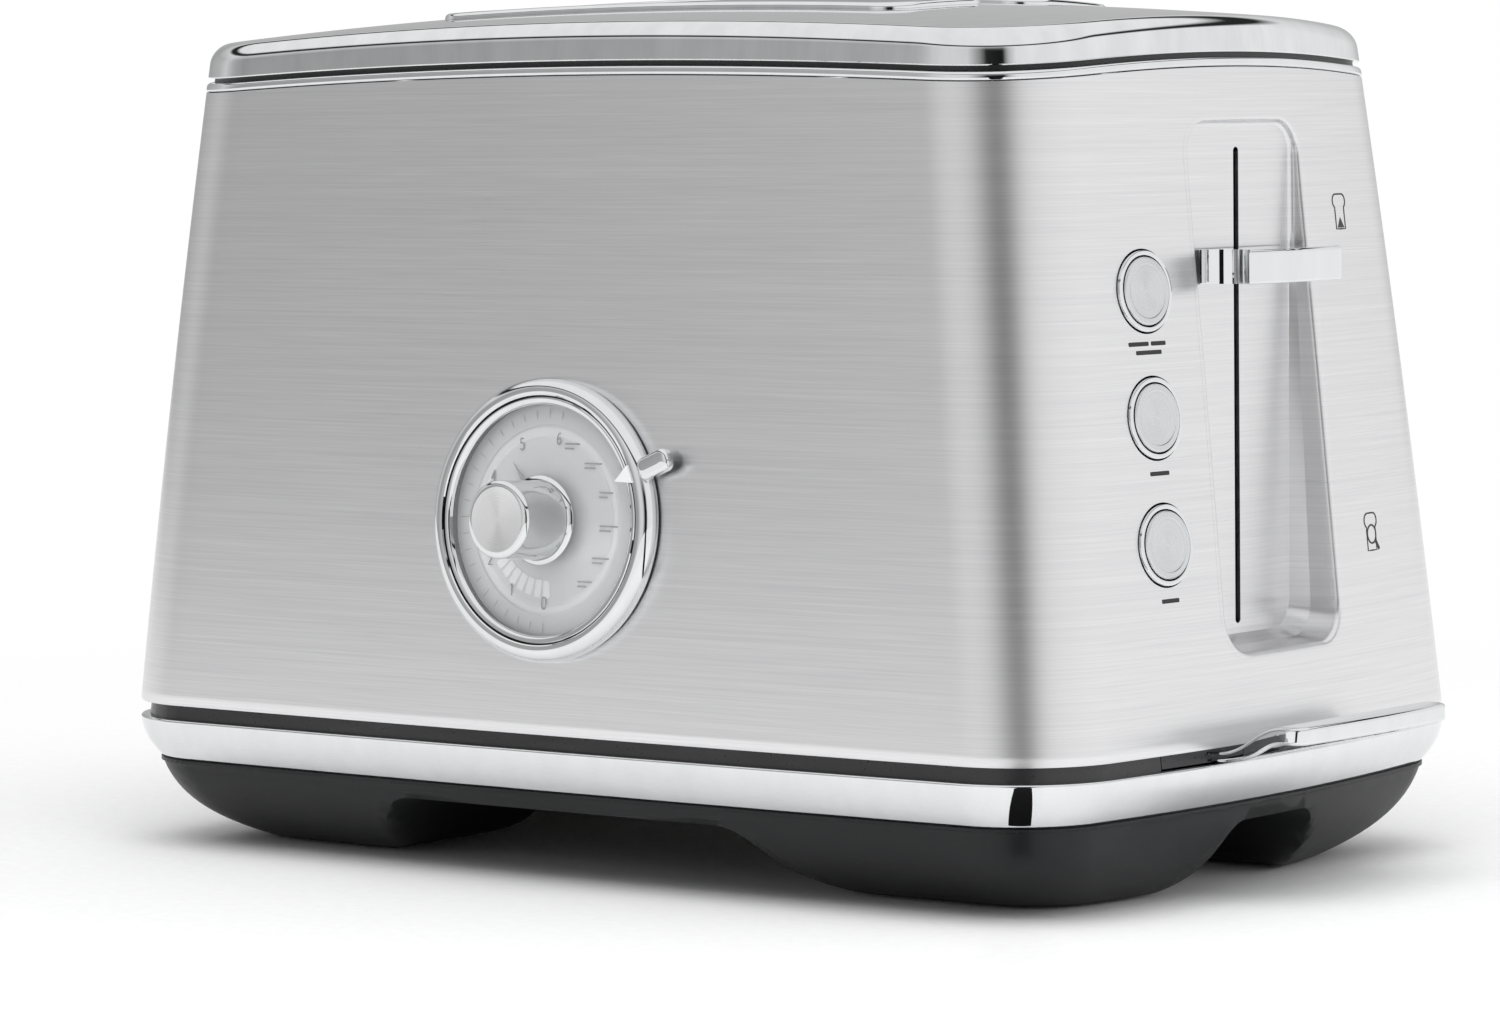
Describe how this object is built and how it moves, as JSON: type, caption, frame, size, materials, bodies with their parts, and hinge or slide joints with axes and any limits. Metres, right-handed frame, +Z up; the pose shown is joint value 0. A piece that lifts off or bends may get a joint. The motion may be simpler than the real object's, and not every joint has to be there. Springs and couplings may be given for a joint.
{
  "type": "two-slice toaster",
  "caption": "Toaster with a leaning brushed metal body, polished lid and band, black footed base, side lever, round dial, push buttons and a crumb tray.",
  "frame": {"origin": "on the counter, under the middle of the overall box", "axes": "+X along the length to the lever end, -Y to the dial face, +Z up"},
  "size_m": [0.3285, 0.2073, 0.2124],
  "materials": {
    "shell_steel": "fine horizontal brushing",
    "bright_metal": "mirror polish",
    "knob_metal": "turned, satin front",
    "cap_metal": "spun, radial sheen",
    "base_plastic": "fine moulded texture",
    "inner_plastic": "moulded",
    "seal_rubber": "matt",
    "plated_steel": "bright zinc plate",
    "frame_steel": "aluminised sheet",
    "heater_card": "pressed mica, matt",
    "heater_wire": "oxidised ribbon",
    "circuit_board": "solder resist",
    "component": "moulded",
    "coil_copper": "enamelled wire",
    "dial_print": "pearl silver print",
    "light_white": "translucent",
    "clear_cover": "clear, polished"
  },
  "bodies": {
    "housing": {"outer_shell": "shell_steel", "lever_recess": "shell_steel", "lid_bead": "bright_metal", "lid_seal": "seal_rubber", "lid": "bright_metal", "slot_collars": "bright_metal", "shell_seal": "seal_rubber", "base_band": "bright_metal", "plinth": "base_plastic", "foot_pads": "seal_rubber", "cord_inlet": "seal_rubber", "chassis_plate": "plated_steel", "chassis_screws": "plated_steel", "tray_rails": "plated_steel", "dial_cup": "inner_plastic", "dial_face": "dial_print", "light_blocks": "light_white", "dial_lens": "clear_cover", "dial_lip": "bright_metal", "dial_board": "circuit_board", "turn_sensor": "component", "button_rings": "bright_metal", "button_carrier": "inner_plastic", "button_board": "circuit_board", "button_switches": "component", "guide_rods": "plated_steel", "magnet_core": "plated_steel", "magnet_coil": "coil_copper", "chamber_ends": "frame_steel", "chamber_sides": "frame_steel", "top_frame": "frame_steel", "heater_cards": "heater_card", "heater_ribbons": "heater_wire", "power_board": "circuit_board", "power_parts": "component", "terminal_block": "inner_plastic", "carriage_switch": "component"},
    "carriage": {"lever_knob": "bright_metal", "lever_arm": "plated_steel", "carriage_bracket": "plated_steel", "rack_front": "plated_steel", "rack_rear": "plated_steel", "latch_plate": "plated_steel", "carriage_spring": "plated_steel"},
    "front_outer_guide": {"guide_front_outer": "plated_steel"},
    "front_inner_guide": {"guide_front_inner": "plated_steel"},
    "rear_inner_guide": {"guide_rear_inner": "plated_steel"},
    "rear_outer_guide": {"guide_rear_outer": "plated_steel"},
    "tray": {"crumb_tray": "frame_steel", "tray_handle": "bright_metal", "tray_gasket": "seal_rubber"},
    "selector": {"selector_ring": "bright_metal", "selector_pointer": "light_white"},
    "knob": {"darkness_knob": "knob_metal", "knob_shaft": "plated_steel", "dial_needle": "plated_steel"},
    "upper_button": {"button_upper": "cap_metal"},
    "middle_button": {"button_middle": "cap_metal"},
    "lower_button": {"button_lower": "cap_metal"}
  },
  "joints": [
    {"name": "carriage_lift", "type": "slide", "parent": "housing", "child": "carriage", "axis": [0, 0, 1], "range_m": [-0.078, 0.016], "stiffness_N_per_m": 150, "springref_m": 0.0107, "deforming": ["carriage_spring"]},
    {"name": "front_outer_close", "type": "slide", "parent": "housing", "child": "front_outer_guide", "axis": [0, 1, 0], "range_m": [-0.0012, 0.0051]},
    {"name": "front_inner_close", "type": "slide", "parent": "housing", "child": "front_inner_guide", "axis": [0, -1, 0], "range_m": [-0.0012, 0.0051]},
    {"name": "rear_inner_close", "type": "slide", "parent": "housing", "child": "rear_inner_guide", "axis": [0, 1, 0], "range_m": [-0.0012, 0.0051]},
    {"name": "rear_outer_close", "type": "slide", "parent": "housing", "child": "rear_outer_guide", "axis": [0, -1, 0], "range_m": [-0.0012, 0.0051]},
    {"name": "tray_slide", "type": "slide", "parent": "housing", "child": "tray", "axis": [1, 0, 0], "range_m": [0, 0.2]},
    {"name": "selector_turn", "type": "hinge", "parent": "housing", "child": "selector", "pos_m": [-0.01, -0.0831, 0.0878], "axis": [0, -0.9972, 0.0754], "range_deg": [-60, 30]},
    {"name": "darkness_turn", "type": "hinge", "parent": "housing", "child": "knob", "pos_m": [-0.01, -0.0831, 0.0878], "axis": [0, -0.9972, 0.0754], "range_deg": [-47, 142]},
    {"name": "upper_press", "type": "slide", "parent": "housing", "child": "upper_button", "axis": [-0.9905, 0.0954, -0.0987], "range_m": [0, 0.0012], "stiffness_N_per_m": 400},
    {"name": "middle_press", "type": "slide", "parent": "housing", "child": "middle_button", "axis": [-0.9905, 0.0954, -0.0987], "range_m": [0, 0.0012], "stiffness_N_per_m": 400},
    {"name": "lower_press", "type": "slide", "parent": "housing", "child": "lower_button", "axis": [-0.9905, 0.0954, -0.0987], "range_m": [0, 0.0012], "stiffness_N_per_m": 400}
  ],
  "couplings": [
    {"joint": "front_outer_close", "follows": "carriage_lift", "ratio": -0.064103},
    {"joint": "front_inner_close", "follows": "carriage_lift", "ratio": -0.064103},
    {"joint": "rear_inner_close", "follows": "carriage_lift", "ratio": -0.064103},
    {"joint": "rear_outer_close", "follows": "carriage_lift", "ratio": -0.064103}
  ]
}
